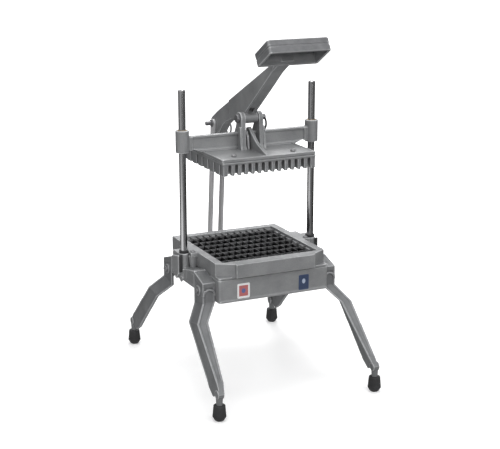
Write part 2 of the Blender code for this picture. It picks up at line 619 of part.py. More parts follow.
def links():
    pieces = []
    (by, bz), (ay, az) = LINK_PIVOT, REAR_PIVOT
    lean = atan2(az - bz, ay - by) * 180 / pi
    half = 0.0075
    outline = arc((ay, az), half, lean - 90, lean + 90, 8) + arc((by, bz), half, lean + 90, lean + 270, 8)
    for name, side in (("left", -1), ("right", 1)):
        holes = [circle((ay, az), PIN_R + GAP), circle((by, bz), LINK_PIN_R + RUN)]
        x = side * (LINK_IN + LINK_T / 2)
        bar = plate(f"link_{name}", outline, LINK_T, centre=(x, 0, 0), holes=holes, group=PARTS)
        pieces.append(finish(bar, STEEL))
        # the outer end of the rear pin: a stub inside the link's eye, with a shoulder outside it
        reach = 0.026 if side < 0 else 0.024
        stub = [cylinder("stub", (side * (LINK_IN + reach) / 2, ay, az), PIN_R, reach - LINK_IN, "X", 24)]
        shoulder_x = LINK_IN + LINK_T + GAP + 0.0015
        stub.append(cylinder("shoulder", (side * shoulder_x, ay, az), 0.0068, 0.003, "X", 24))
        cuts = [] if side < 0 else [cylinder("hole", (0.0205, ay, az), RING_HOLE, 0.02, "Y", 12)]
        pieces.append(finish(combine(f"rear_pin_end_{name}", stub, cuts), DARK_STEEL, smooth=True))
    pieces.append(ring("rear_pin_clip", (0.0205, ay, az)))
    return pieces


def link_pin():
    """A pin with a head formed at each end, through both links and the base's rear lug."""
    end = LINK_IN + LINK_T + GAP
    head = [(0, end + 0.003), (0.005, end + 0.003), (0.0065, end + 0.0015), (0.0065, end), (LINK_PIN_R, end)]
    pin = turned("link_pin", head + [(r, -z) for r, z in reversed(head)], 24)
    pin.rotation_euler = TURN["X"]
    pin.location = (0, *LINK_PIVOT)
    finish(pin, STEEL, smooth=True)


def hang_on(name, place, pieces):
    """Parent a body's pieces to an empty on its joint's axis."""
    empty = bpy.data.objects.new(name, None)
    PARTS.objects.link(empty)
    empty.location = place
    inverse = Matrix.Translation(Vector(place)).inverted()
    for piece in pieces:
        piece.parent = empty
        piece.matrix_parent_inverse = inverse


def build():
    base_frame()
    blade_frame()
    blades()
    guide_rods()
    for name, side in (("left", -1), ("right", 1)):
        x, y = FRAME_SCREW
        screw(f"frame_screw_{name}", (side * x, y, TRAY_TOP + GAP), (0, 0, 1), (0.0045, 0.003),
              (SCREW_R, FRAME_SCREW_LENGTH))
    legs()
    link_pin()
    hang_on("pusher_slide", (0, 0, BLOCK_TOP), pusher())
    hang_on("lever_hinge", (0, *LEVER_PIVOT), lever())
    hang_on("link_hinge", (0, *LINK_PIVOT), links())


build()
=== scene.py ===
"""Looks for the vegetable dicer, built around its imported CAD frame.

Lengths are in millimetres up to the point where a mesh is made; the scene itself is in metres.
"""

import json
from math import atan2, cos, degrees, pi, radians, sin

import bmesh
import bpy
from mathutils import Matrix, Vector


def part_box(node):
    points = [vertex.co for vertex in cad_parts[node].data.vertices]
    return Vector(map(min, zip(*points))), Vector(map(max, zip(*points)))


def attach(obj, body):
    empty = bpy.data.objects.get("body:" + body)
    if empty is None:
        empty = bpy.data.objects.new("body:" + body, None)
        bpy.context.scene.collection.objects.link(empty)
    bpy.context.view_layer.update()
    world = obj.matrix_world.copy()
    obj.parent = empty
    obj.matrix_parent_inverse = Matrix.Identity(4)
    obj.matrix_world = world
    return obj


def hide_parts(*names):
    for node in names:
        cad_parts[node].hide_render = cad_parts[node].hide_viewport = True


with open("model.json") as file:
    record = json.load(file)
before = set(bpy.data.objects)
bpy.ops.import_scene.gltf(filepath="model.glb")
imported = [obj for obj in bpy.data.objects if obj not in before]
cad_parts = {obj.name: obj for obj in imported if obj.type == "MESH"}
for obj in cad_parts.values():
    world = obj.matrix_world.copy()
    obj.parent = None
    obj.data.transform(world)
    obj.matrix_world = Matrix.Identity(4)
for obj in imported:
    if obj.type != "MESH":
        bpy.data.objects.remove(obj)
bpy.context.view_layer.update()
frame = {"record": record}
MM = 0.001


# ---- sizes taken from the frame ---------------------------------------------------------------------
def corner(node, low):
    """A CAD node's lowest or highest corner, in millimetres."""
    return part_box(node)[0 if low else 1] / MM


GAP = 0.3  # between pieces that touch
SKIRT_X, SKIRT_Y = 106.6, 108.0
SKIRT_LOW, SKIRT_HIGH, WALL = 169.0, 210.0, 5.0
WING_X, WING_Y, WING_LOW = 130.0, 53.0, 185.0
WING_RISE, WING_RISE_FROM = 6.8, 14.0
TRAY_LOW, TRAY_FLOOR, TRAY_LEDGE, TRAY_TOP = 210.3, 214.5, 233.0, 238.0
TRAY_IN_LOW, TRAY_IN_TOP, TRAY_FRONT = 89.6, 92.4, 116.0
LUG_X, LUG_FRONT, LUG_REAR, LUG_LOW = 119.0, 16.0, 40.0, 230.0
ROD_X = (corner("guide_rod_right", True).x + corner("guide_rod_right", False).x) / 2
ROD_R = corner("guide_rod_right", False).x - ROD_X
ROD_LOW, ROD_TOP = corner("guide_rod_right", True).z, corner("guide_rod_right", False).z
BOSS_R, BOSS_LOW, BOSS_TOP, BOSS_REAR = 9.0, 193.0, 236.0, 31.0
EAR_PLATE_X, EAR_PLATE_T, EAR_PLATE_FRONT = 138.0, 5.5, -6.2
PAD_X, PAD_Y, PAD_Z = (133.6, 139.0), (-9.6, -6.7), (203.0, 235.0)
FRAME_SCREW = (113.0, -8.0)
PITCH_X, COUNT_X, PITCH_Y, COUNT_Y = 12.7, 13, 25.4, 7
BLADE_T, BLADE_HALF, SLOT_W = 1.2, 92.1, 1.8
GRIND, EDGE_LEFT = 3.2, 0.2  # height of the ground wedge; how much of the thickness its edge keeps
BLADE_LOW, BLADE_HIGH = corner("blade_crosswise_01", True).z, corner("blade_crosswise_01", False).z
BLOCK_HALF = corner("pusher_block", False).x
FINGER_TIP, BLOCK_TOP = corner("pusher_block", True).z, corner("pusher_block", False).z
BLOCK_ROOF, FINGER_GAP = 408.0, 6.35
PUSHER_SCREW_X, PUSHER_SCREW_Y = 4.5 * PITCH_X, 2.5 * PITCH_Y
PLATE_X, PLATE_Y, PLATE_T = 90.0, 88.0, 4.2
PLATE_LOW = corner("pusher_head", True).z
PLATE_HIGH = PLATE_LOW + PLATE_T
SLEEVE_R, SLEEVE_LOW, SLEEVE_HIGH = 12.0, 418.0, 457.5
SLEEVE_ROOT = 110.0
BUSH_R, BUSH_BORE = 8.0, 6.45
BEAM_T, BEAM_TOP = 10.0, 446.0
LEVER_PIVOT, REAR_PIVOT, LINK_PIVOT = (-6.0, 471.0), (131.0, 440.0), (153.0, 185.0)
PIN_R, LINK_PIN_R, BOLT_R, SCREW_R = 5.0, 4.0, 3.0, 2.0
SHOULDER_R, LINK_LUG_R, EYE_R = 6.8, 11.0, 18.5
RING_R, RING_WIRE = 11.3, 1.2
EAR_R, EAR_IN, EAR_OUT, ARM_HALF, LUG_HALF = 11.5, 13.5, 21.5, 11.5, 8.3
LINK_X, LINK_T, LINK_HALF = 10.9, 4.0, 7.5
GRIP_HALF, GRIP_LENGTH, GRIP_T, GRIP_WALL = 56.0, 56.0, 22.0, 4.0
GRIP_LIP = 1.8  # how much deeper than that its walls reach
GRIP_REAR, GRIP_TILT = (-140.0, 601.0), radians(31)
FOOT_X, FOOT_Y = 150.5, 205.7
STEM_R = 5.0
LEG_BOLT_Y, LEG_BOLT_Z = 72.0, 187.0
BOLT_SEAT = 130.8
SIDES = (("left", -1), ("right", 1))
CORNERS = (("front_left", -1, -1), ("front_right", 1, -1), ("rear_left", -1, 1), ("rear_right", 1, 1))
THROUGH = 100.0  # long enough for any cutter to pass right through


# ---- camera, light and floor ------------------------------------------------------------------------
CAMERA_PLACE, CAMERA_LENS, SENSOR = (-0.92649, -1.96475, 0.85317), 89.05, 36
CAMERA_DOWN, CAMERA_TURN = 14.94, -25.33  # degrees
LIGHTS = (  # name, place, height of the point aimed at, size, watts
    ("key", (-1.1, -1.3, 2.3), 0.25, (1.6, 1.6), 12),
    ("top", (0.2, 0.2, 2.4), 0.3, (1.0, 1.0), 13),
    ("back", (0.7, 1.7, 1.5), 0.3, (1.0, 1.0), 16),
    ("fill", (1.4, -1.6, 1.3), 0.3, (1.2, 1.2), 9),
    ("front", (-0.2, -2.4, 0.9), 0.3, (1.6, 1.0), 12),
)
ROOM_BRIGHT_SIDE = Vector((-0.25, -0.35, 0.90)).normalized()
ROOM_STOPS = ((0.0, (0.05, 0.05, 0.055, 1)), (1.0, (0.8, 0.8, 0.8, 1)), (0.5, (0.34, 0.34, 0.35, 1)))
FLOOR_BRIGHT_SIDE = Vector((-0.92, -0.38, 0)).normalized()
FLOOR_STOPS = ((0.0, 0.04), (0.45, 0.06), (0.75, 0.20), (0.90, 0.32), (0.965, 1.2), (1.0, 1.3))


def camera():
    """A long lens, from the front left and a little above."""
    data = bpy.data.cameras.new("camera")
    data.lens = CAMERA_LENS
    data.sensor_width = SENSOR
    obj = bpy.data.objects.new("camera", data)
    obj.location = CAMERA_PLACE
    obj.rotation_euler = (radians(90 - CAMERA_DOWN), 0, radians(CAMERA_TURN))
    bpy.context.scene.collection.objects.link(obj)
    bpy.context.scene.camera = obj


def fill_ramp(ramp, stops):
    """Set a colour ramp's stops; the first two are the ones it starts with."""
    for i, (at, colour) in enumerate(stops):
        stop = ramp.elements[i] if i < 2 else ramp.elements.new(at)
        stop.position = at
        stop.color = colour


def area_light(name, place, aim_z, size, watts):
    """A soft light aimed at a height above the origin."""
    light = bpy.data.lights.new(name, "AREA")
    light.shape = "RECTANGLE"
    light.size, light.size_y = size
    light.energy = watts
    obj = bpy.data.objects.new(name, light)
    obj.location = place
    obj.rotation_euler = (Vector((0, 0, aim_z)) - Vector(place)).to_track_quat("-Z", "Y").to_euler()
    bpy.context.scene.collection.objects.link(obj)


def studio():
    """A white surround to the camera; to the object, a room that is bright above and dark below."""
    world = bpy.data.worlds.new("studio")
    world.use_nodes = True
    nodes, links = world.node_tree.nodes, world.node_tree.links
    nodes.clear()
    place = nodes.new("ShaderNodeTexCoord")
    side = nodes.new("ShaderNodeVectorMath")
    side.operation = "DOT_PRODUCT"
    side.inputs[1].default_value = ROOM_BRIGHT_SIDE
    ramp = nodes.new("ShaderNodeValToRGB")
    fill_ramp(ramp.color_ramp, ROOM_STOPS)
    scale = nodes.new("ShaderNodeMapRange")
    scale.inputs["From Min"].default_value = -1
    links.new(place.outputs["Generated"], side.inputs[0])
    links.new(side.outputs["Value"], scale.inputs["Value"])
    links.new(scale.outputs["Result"], ramp.inputs["Fac"])
    room = nodes.new("ShaderNodeBackground")
    links.new(ramp.outputs["Color"], room.inputs["Color"])
    white = nodes.new("ShaderNodeBackground")
    white.inputs["Strength"].default_value = 1.05
    path = nodes.new("ShaderNodeLightPath")
    mix = nodes.new("ShaderNodeMixShader")
    links.new(path.outputs["Is Camera Ray"], mix.inputs["Fac"])
    links.new(room.outputs["Background"], mix.inputs[1])
    links.new(white.outputs["Background"], mix.inputs[2])
    out = nodes.new("ShaderNodeOutputWorld")
    links.new(mix.outputs["Shader"], out.inputs["Surface"])
    bpy.context.scene.world = world
    bpy.context.scene.view_settings.view_transform = "Standard"
    for light in LIGHTS:
        area_light(*light)


def floor_sheet():
    """The ground under the feet."""
    bm = bmesh.new()
    bmesh.ops.create_grid(bm, x_segments=8, y_segments=8, size=12)
    mesh = bpy.data.meshes.new("floor")
    bm.to_mesh(mesh)
    bm.free()
    floor = bpy.data.objects.new("floor", mesh)
    floor.data.materials.append(floor_material())
    bpy.context.scene.collection.objects.link(floor)


def floor_material():
    """Pale to look at, with a soft shadow.

    What it mirrors into the metal is grey close by; further out it is dim, with a bright streak on
    the left.
    """
    n = Nodes("pale_floor", 0.9, 0.0, Specular_IOR_Level=0.1)
    n.shader.inputs["Emission Strength"].default_value = 1.0
    n.shader.inputs["Base Color"].default_value = (0.85, 0.85, 0.85, 1)
    away = n.vector("LENGTH", n.place.outputs["Object"]).outputs["Value"]
    white = n.mix(n.spread(away, 0, 1, 0.35, 1.1), (0.30, 0.30, 0.30), (1, 1, 1))
    n.link(white, n.shader.inputs["Emission Color"])
    heading = n.vector("NORMALIZE", n.place.outputs["Object"]).outputs["Vector"]
    toward = n.vector("DOT_PRODUCT", heading)
    toward.inputs[1].default_value = FLOOR_BRIGHT_SIDE
    ramp = n.tree.nodes.new("ShaderNodeValToRGB")
    fill_ramp(ramp.color_ramp, [(at, (level, level, level, 1)) for at, level in FLOOR_STOPS])
    n.link(n.spread(toward.outputs["Value"], 0, 1, -1, 1), ramp.inputs["Fac"])
    near = n.spread(away, 0, 1, 0.35, 1.0)
    glow = n.tree.nodes.new("ShaderNodeEmission")
    far = n.mix(n.spread(away, 0, 0.75, 1.2, 1.9), ramp.outputs["Color"], (0.12, 0.12, 0.12))
    n.link(n.mix(near, (0.50, 0.50, 0.50), far), glow.inputs["Color"])
    path = n.tree.nodes.new("ShaderNodeLightPath")
    mix = n.tree.nodes.new("ShaderNodeMixShader")
    n.link(path.outputs["Is Camera Ray"], mix.inputs["Fac"])
    n.link(glow.outputs["Emission"], mix.inputs[1])
    n.link(n.shader.outputs["BSDF"], mix.inputs[2])
    n.link(mix.outputs["Shader"], n.tree.nodes["Material Output"].inputs["Surface"])
    return n.mat


# ---- materials --------------------------------------------------------------------------------------
class Nodes:
    """A material's node tree, with short calls for the nodes used here."""

    def __init__(self, name, roughness, metallic, **sockets):
        self.mat = bpy.data.materials.new(name)
        self.mat.use_nodes = True
        self.tree = self.mat.node_tree
        self.shader = self.tree.nodes["Principled BSDF"]
        self.shader.inputs["Roughness"].default_value = roughness
        self.shader.inputs["Metallic"].default_value = metallic
        for socket, value in sockets.items():
            self.shader.inputs[socket.replace("_", " ")].default_value = value
        self.place = self.tree.nodes.new("ShaderNodeTexCoord")

    def link(self, out, socket):
        self.tree.links.new(out, socket)

    def noise(self, scale, detail=3.0, stretch=(1, 1, 1)):
        mapping = self.tree.nodes.new("ShaderNodeMapping")
        mapping.inputs["Scale"].default_value = stretch
        self.link(self.place.outputs["Object"], mapping.inputs["Vector"])
        node = self.tree.nodes.new("ShaderNodeTexNoise")
        node.inputs["Scale"].default_value = scale
        node.inputs["Detail"].default_value = detail
        self.link(mapping.outputs["Vector"], node.inputs["Vector"])
        return node.outputs["Fac"]

    def vector(self, operation, value):
        node = self.tree.nodes.new("ShaderNodeVectorMath")
        node.operation = operation
        self.link(value, node.inputs[0])
        return node

    def spread(self, value, low, high, from_low=0.3, from_high=0.7):
        node = self.tree.nodes.new("ShaderNodeMapRange")
        node.inputs["From Min"].default_value = from_low
        node.inputs["From Max"].default_value = from_high
        node.inputs["To Min"].default_value = low
        node.inputs["To Max"].default_value = high
        self.link(value, node.inputs["Value"])
        return node.outputs["Result"]

    def mix(self, amount, first, second):
        node = self.tree.nodes.new("ShaderNodeMix")
        node.data_type = "RGBA"
        self.put(amount, node.inputs["Factor"])
        self.put(first, node.inputs["A"])
        self.put(second, node.inputs["B"])
        return node.outputs["Result"]

    def put(self, value, socket):
        if hasattr(value, "is_output"):
            self.link(value, socket)
        elif isinstance(value, tuple):
            socket.default_value = (*value, 1)
        else:
            socket.default_value = value

    def edges(self, low, high):
        """0 in the flat, 1 on a convex arris; needs a dense mesh."""
        shape = self.tree.nodes.new("ShaderNodeNewGeometry")
        return self.spread(shape.outputs["Pointiness"], 0, 1, low, high)

    def bump(self, height, strength, distance):
        node = self.tree.nodes.new("ShaderNodeBump")
        node.inputs["Strength"].default_value = strength
        node.inputs["Distance"].default_value = distance
        self.link(height, node.inputs["Height"])
        self.link(node.outputs["Normal"], self.shader.inputs["Normal"])

    def finish(self, colour, roughness=None):
        self.put(colour, self.shader.inputs["Base Color"])
        if roughness is not None:
            self.link(roughness, self.shader.inputs["Roughness"])
        return self.mat


def cast_metal(name, dark, light, edge, shade_and_wear_above=None):
    """Sand-cast aluminium: cloudy grey, a fine grain, a painted highlight along the arrises and painted
    shade in the hollows.

    Above a height in metres, if one is given, the metal is darkened by painted shade and mottled by hands.
    """
    n = Nodes(name, 0.5, 0.45)
    cloud = n.noise(28, 5)
    grain = n.noise(900, 2)
    colour = n.mix(n.spread(cloud, 0, 1), dark, light)
    colour = n.mix(n.spread(grain, 0, 0.22), colour, (0.10, 0.10, 0.105))
    # Painted shade: above the given height the colour is darkened, and mottled like the real worn grip.
    if shade_and_wear_above is not None:
        split = n.tree.nodes.new("ShaderNodeSeparateXYZ")
        n.link(n.place.outputs["Object"], split.inputs["Vector"])
        shade_and_wear_mask = n.spread(split.outputs["Z"], 0, 0.75, shade_and_wear_above, shade_and_wear_above + 0.02)
        shade_and_stain_colour = n.mix(n.spread(n.noise(70, 4), 0, 1), (0.11, 0.112, 0.12), (0.20, 0.205, 0.21))
        colour = n.mix(shade_and_wear_mask, colour, shade_and_stain_colour)
    # Painted highlight: convex arrises are lightened towards the given arris colour.
    colour = n.mix(n.edges(0.507, 0.56), colour, edge)
    # Painted shade: concave hollows are darkened.
    hollow = n.edges(0.49, 0.42)
    colour = n.mix(hollow, colour, (0.07, 0.07, 0.075))
    n.bump(n.mix(0.35, grain, n.noise(2200, 2)), 0.35, 0.0004)
    return n.finish(colour, n.spread(n.noise(90, 4), 0.48, 0.62))


def drawn_steel(name, colour, low, high, stretch, metallic=1.0):
    """Steel with fine scratches in one direction."""
    n = Nodes(name, 0.25, metallic)
    lines = n.noise(260, 4, stretch)
    cloud = n.noise(22, 3)
    shade = n.mix(n.spread(cloud, 0, 1), colour, tuple(c * 0.82 for c in colour))
    shade = n.mix(n.spread(lines, 0, 0.25), shade, tuple(c * 0.5 for c in colour))
    n.bump(lines, 0.05, 0.0001)
    return n.finish(shade, n.spread(lines, low, high))


def black_rubber():
    """Matt rubber, a little greyer along its edges."""
    n = Nodes("black_rubber", 0.6, 0.0)
    grain = n.noise(1400, 3)
    colour = n.mix(n.spread(n.noise(60, 4), 0, 1), (0.013, 0.013, 0.014), (0.026, 0.026, 0.028))
    colour = n.mix(n.edges(0.52, 0.62), colour, (0.06, 0.06, 0.062))
    n.bump(grain, 0.3, 0.0003)
    return n.finish(colour, n.spread(grain, 0.5, 0.75))


def label_print(name, paper, block, mark, centre, half):
    """A printed label: a plain block on its paper, and one round mark."""
    n = Nodes(name, 0.35, 0.0)
    split = n.tree.nodes.new("ShaderNodeSeparateXYZ")
    n.link(n.place.outputs["Generated"], split.inputs["Vector"])

    def inside(axis, middle, reach):
        node = n.tree.nodes.new("ShaderNodeMath")
        node.operation = "COMPARE"
        n.link(split.outputs[axis], node.inputs[0])
        node.inputs[1].default_value = middle
        node.inputs[2].default_value = reach
        return node.outputs["Value"]

    both = n.tree.nodes.new("ShaderNodeMath")
    both.operation = "MULTIPLY"
    n.link(inside("X", 0.5, half[0]), both.inputs[0])
    n.link(inside("Z", 0.5, half[1]), both.inputs[1])
    far = n.tree.nodes.new("ShaderNodeVectorMath")
    far.operation = "DISTANCE"
    flat = n.tree.nodes.new("ShaderNodeCombineXYZ")
    n.link(split.outputs["X"], flat.inputs["X"])
    n.link(split.outputs["Z"], flat.inputs["Z"])
    n.link(flat.outputs["Vector"], far.inputs[0])
    far.inputs[1].default_value = (centre[0], 0, centre[1])
    dot = n.tree.nodes.new("ShaderNodeMath")
    dot.operation = "LESS_THAN"
    n.link(far.outputs["Value"], dot.inputs[0])
    dot.inputs[1].default_value = 0.16
    colour = n.mix(both.outputs["Value"], paper, block)
    colour = n.mix(dot.outputs["Value"], colour, mark)
    colour = n.mix(n.spread(n.noise(700, 3), 0, 0.12), colour, (0.3, 0.3, 0.3))
    n.bump(n.noise(500, 2), 0.05, 0.0001)
    return n.finish(colour)


# ---- building blocks --------------------------------------------------------------------------------
def show(name, bm):
    """The same as show_as_is, with the faces first turned to point out."""
    bmesh.ops.recalc_face_normals(bm, faces=bm.faces)
    return show_as_is(name, bm)


def show_as_is(name, bm):
    """Put a bmesh in millimetres into the scene, in metres."""
    bm.transform(Matrix.Scale(MM, 4))
    mesh = bpy.data.meshes.new(name)
    bm.to_mesh(mesh)
    bm.free()
    obj = bpy.data.objects.new(name, mesh)
    bpy.context.scene.collection.objects.link(obj)
    return obj


def block(low, high):
    """A box between two opposite corners."""
    low, high = Vector(low), Vector(high)
    bm = bmesh.new()
    bmesh.ops.create_cube(bm, size=1.0)
    bmesh.ops.scale(bm, vec=[abs(v) for v in high - low], verts=bm.verts)
    bmesh.ops.translate(bm, vec=(low + high) / 2, verts=bm.verts)
    return show("block", bm)


TURN = {"X": Matrix.Rotation(pi / 2, 4, "Y"), "Y": Matrix.Rotation(pi / 2, 4, "X"), "Z": Matrix.Identity(4)}


def rod(centre, radius, length, axis="Z", radius_top=None, sides=64):
    """A cylinder or a cone about its centre; radius_top is the radius at the far end of the axis."""
    bm = bmesh.new()
    top = radius if radius_top is None else radius_top
    bmesh.ops.create_cone(bm, cap_ends=True, segments=sides, radius1=radius, radius2=top, depth=length)
    bm.transform(Matrix.Translation(Vector(centre)) @ TURN[axis])
    return show("rod", bm)


def arc(centre, radius, start, end, steps=12):
    """Points on an arc, angles in degrees."""
    angles = [radians(start + (end - start) * i / steps) for i in range(steps + 1)]
    return [(centre[0] + radius * cos(a), centre[1] + radius * sin(a)) for a in angles]


def round_rect(half_x, half_y, radius, inset=0.0, steps=8):
    """An outline with rounded corners, the same number of points whatever its size."""
    radius = max(radius - inset, 0.3)
    x, y = half_x - inset - radius, half_y - inset - radius
    points = []
    for cx, cy, start in ((x, y, 0), (-x, y, 90), (-x, -y, 180), (x, -y, 270)):
        points += arc((cx, cy), radius, start, start + 90, steps)
    return points


def spaced(count, pitch):
    """Places at one pitch, centred on nought."""
    return [(i - (count - 1) / 2) * pitch for i in range(count)]


def both_sides(points):
    """An outline closed by its own mirror image across X = 0."""
    return points + [(-x, y) for x, y in reversed(points)]


def loft(rings):
    """A closed solid through rings of points, capped at both ends."""
    bm = bmesh.new()
    made = [[bm.verts.new(point) for point in ring] for ring in rings]
    count = len(made[0])
    for first, second in zip(made, made[1:]):
        for i in range(count):
            bm.faces.new((first[i], first[(i + 1) % count], second[(i + 1) % count], second[i]))
    for ring in (made[0], made[-1]):
        face = bm.faces.new(ring)
        bmesh.ops.triangulate(bm, faces=[face])
    return show("loft", bm)


def slab(outline, low, high):
    """An outline in the XY plane, between two heights."""
    return loft([[(x, y, z) for x, y in outline] for z in (low, high)])


def plate(outline, thickness, x=0.0):
    """An outline in the YZ plane, thickened along X about x."""
    return loft([[(x + side * thickness / 2, a, b) for a, b in outline] for side in (-1, 1)])


def beam_plate(outline, thickness, y=0.0):
    """An outline in the XZ plane, thickened along Y about y."""
    return loft([[(a, y + side * thickness / 2, b) for a, b in outline] for side in (-1, 1)])


def evaluated(obj, name):
    """Replace an object by its evaluated mesh."""
    bpy.context.view_layer.update()
    mesh = bpy.data.meshes.new_from_object(obj.evaluated_get(bpy.context.evaluated_depsgraph_get()))
    new = bpy.data.objects.new(name, mesh)
    new.matrix_world = obj.matrix_world.copy()
    bpy.context.scene.collection.objects.link(new)
    bpy.data.objects.remove(obj, do_unlink=True)
    return new


def unite(name, solids, cutters=()):
    """One solid from several, less the cutters."""
    body = solids[0]
    for kind, operands in (("UNION", solids[1:]), ("DIFFERENCE", cutters)):
        for operand in operands:
            tool = body.modifiers.new(kind.lower(), "BOOLEAN")
            tool.operation = kind
            tool.solver = "MANIFOLD"
            tool.object = operand
    body = evaluated(body, name)
    for operand in (*solids[1:], *cutters):
        bpy.data.objects.remove(operand, do_unlink=True)
    return body


def reach_each_other(first, second):
    """Whether two objects' boxes overlap."""
    spans = []
    for obj in (first, second):
        points = [obj.matrix_world @ vert.co for vert in obj.data.vertices]
        spans.append([(min(p[i] for p in points), max(p[i] for p in points)) for i in range(3)])
    return all(a[0] < b[1] and b[0] < a[1] for a, b in zip(*spans))


def cut_each(solids, cutters):
    """Cut every solid by the cutters that reach it, and join the results into one mesh."""
    joined = bmesh.new()
    for solid in solids:
        for cutter in cutters:
            if reach_each_other(solid, cutter):
                tool = solid.modifiers.new("cut", "BOOLEAN")
                tool.operation = "DIFFERENCE"
                tool.solver = "MANIFOLD"
                tool.object = cutter
        cut = evaluated(solid, "cut")
        joined.from_mesh(cut.data)
        bpy.data.objects.remove(cut, do_unlink=True)
    for cutter in cutters:
        bpy.data.objects.remove(cutter, do_unlink=True)
    joined.transform(Matrix.Scale(1 / MM, 4))
    return joined


def cast(name, solids, cutters, grid, rounds, keep):
    """A casting: overlapping solids cut and fused on a fine grid, its edges softened into fillets.

    The grid is in millimetres, rounds is how often the surface is softened, and keep is the share of
    its faces that remain.
    """
    body = show_as_is(name, cut_each(solids, cutters))
    remesh = body.modifiers.new("grid", "REMESH")
    remesh.mode = "VOXEL"
    remesh.voxel_size = grid * MM
    soften = body.modifiers.new("soften", "SMOOTH")
    soften.factor = 0.5
    soften.iterations = rounds
    thin = body.modifiers.new("thin", "DECIMATE")
    thin.ratio = keep
    body = evaluated(body, name)
    body.data.shade_smooth()
    return body


def turned(name, profile, place=(0, 0, 0), axis="Z", steps=64):
    """A turned piece: (radius, height) points, down the outer side, spun about an axis."""
    mesh = bpy.data.meshes.new(name)
    points = [(r * MM, 0, z * MM) for r, z in profile]
    mesh.from_pydata(points, [(i, i + 1) for i in range(len(points) - 1)], [])
    obj = bpy.data.objects.new(name, mesh)
    bpy.context.scene.collection.objects.link(obj)
    screw = obj.modifiers.new("spin", "SCREW")
    screw.steps = screw.render_steps = steps
    screw.use_merge_vertices = True
    screw.merge_threshold = 0.000005
    obj = evaluated(obj, name)
    obj.data.transform(Matrix.Translation(Vector(place) * MM) @ TURN[axis])
    obj.data.shade_smooth()
    obj.data.set_sharp_from_angle(angle=radians(32))
    return obj


def bevelled(obj, width, segments=3):
    """Round the edges of a plain plate."""
    bevel = obj.modifiers.new("edge", "BEVEL")
    bevel.width = width * MM
    bevel.segments = segments
    bevel.limit_method = "ANGLE"
    bevel.angle_limit = radians(38)
    new = evaluated(obj, obj.name)
    new.data.shade_smooth()
    new.data.set_sharp_from_angle(angle=radians(38))
    return new


def mirrored(obj, x=1, y=1):
    """A mirror image of a finished piece."""
    mesh = obj.data.copy()
    mesh.transform(Matrix.Diagonal((x, y, 1, 1)))
    if x * y < 0:
        mesh.flip_normals()
    new = bpy.data.objects.new(obj.name, mesh)
    bpy.context.scene.collection.objects.link(new)
    return new


BODIES = frame["record"]["behaviour"]["bodies"]


def settle(obj, node, mat):
    """The piece stands for a CAD node: it is named after it, rides on its body, and the node's own part is
    hidden.
    """
    obj.name = f"{node}_finished"
    obj.data.name = obj.name
    obj.data.materials.clear()
    obj.data.materials.append(mat)
    body = next(name for name, members in BODIES.items() if node in members)
    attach(obj, body)
    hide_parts(node)
    return obj


# ---- base -------------------------------------------------------------------------------------------
def rod_boss(side):
    """The column a guide rod stands in, the two drips below it, the web behind it, the plate beside it."""
    x = side * ROD_X
    near, far = sorted((side * (LUG_X + 2 * GAP), side * (ROD_X + BOSS_R - 0.4)))
    front = EAR_PLATE_FRONT
    ear = [(front, 234), (4, 231.5), (23.5, 228), (23.5, 206), (7, 188), (front, 200)]
    return [
        rod((x, 0, (BOSS_LOW + BOSS_TOP) / 2), BOSS_R, BOSS_TOP - BOSS_LOW),
        rod((x, 0, WING_LOW + 12.2), 4, 24, radius_top=12.5),
        rod((side * (WING_X + 0.5), 4, BOSS_LOW), 1.5, 24, radius_top=11),
        block((near, 1, SKIRT_HIGH - 1), (far, BOSS_REAR, BOSS_TOP - 0.7)),
        plate(ear, EAR_PLATE_T, side * EAR_PLATE_X),
    ]


def base_casting():
    """The hollow skirt with its wings, rod bosses and rear lug."""
    solids = [slab(round_rect(SKIRT_X, SKIRT_Y, 4), SKIRT_LOW, SKIRT_HIGH)]
    for end in (-1, 1):
        solids.append(block((-SKIRT_X + 2, end * (SKIRT_Y - 2), SKIRT_LOW),
                            (SKIRT_X - 2, end * (SKIRT_Y + 0.9), SKIRT_LOW + 3.4)))
    inner_x, inner_y = SKIRT_X - WALL, SKIRT_Y - WALL
    cutters = [
        slab(round_rect(inner_x, inner_y, 5), SKIRT_LOW - 10, SKIRT_HIGH - WALL),
        slab(round_rect(TRAY_IN_TOP, TRAY_IN_TOP, 3), SKIRT_LOW, SKIRT_HIGH + 10),
    ]
    for side in (-1, 1):
        near, far = sorted((side * (SKIRT_X - 3), side * WING_X))
        solids.append(block((near, -WING_Y, WING_LOW), (far, WING_Y, SKIRT_HIGH)))
        front = GAP - WING_Y
        rise = [(-WING_RISE_FROM, SKIRT_HIGH - 2), (-WING_RISE_FROM, SKIRT_HIGH),
                (front, SKIRT_HIGH + WING_RISE), (front, SKIRT_HIGH - 2)]
        solids.append(plate(rise, WING_X - SKIRT_X - 4 * GAP, side * (SKIRT_X + WING_X) / 2))
        solids += rod_boss(side)
        pad_low, pad_high = sorted((side * (PAD_X[0] - GAP), side * (PAD_X[1] + GAP)))
        cutters.append(block((pad_low, -14, PAD_Z[0] - GAP), (pad_high, PAD_Y[1] + GAP, PAD_Z[1] + GAP)))
        for end in (-1, 1):
            panel_low, panel_high = sorted((side * (WING_X - 1.3), side * (WING_X + 2)))
            y_low, y_high = sorted((end * 17, end * (WING_Y - 3)))
            cutters.append(block((panel_low, y_low, WING_LOW + 6), (panel_high, y_high, SKIRT_HIGH - 2)))
            cutters.append(rod((side * SKIRT_X, end * LEG_BOLT_Y, LEG_BOLT_Z), BOLT_R + GAP, 20, "X"))
    y, z = LINK_PIVOT
    root, reach = SKIRT_Y - 3, LINK_LUG_R
    lug = [(root, z + 2 * reach), (y, z + reach)] + arc((y, z), reach, 90, -90)[1:] + [(root, z - 14)]
    solids.append(plate(lug, 2 * LUG_HALF))
    cutters.append(rod((0, y, z), LINK_PIN_R + GAP, 50, "X"))
    return cast("base", solids, cutters, grid=0.9, rounds=3, keep=0.22)


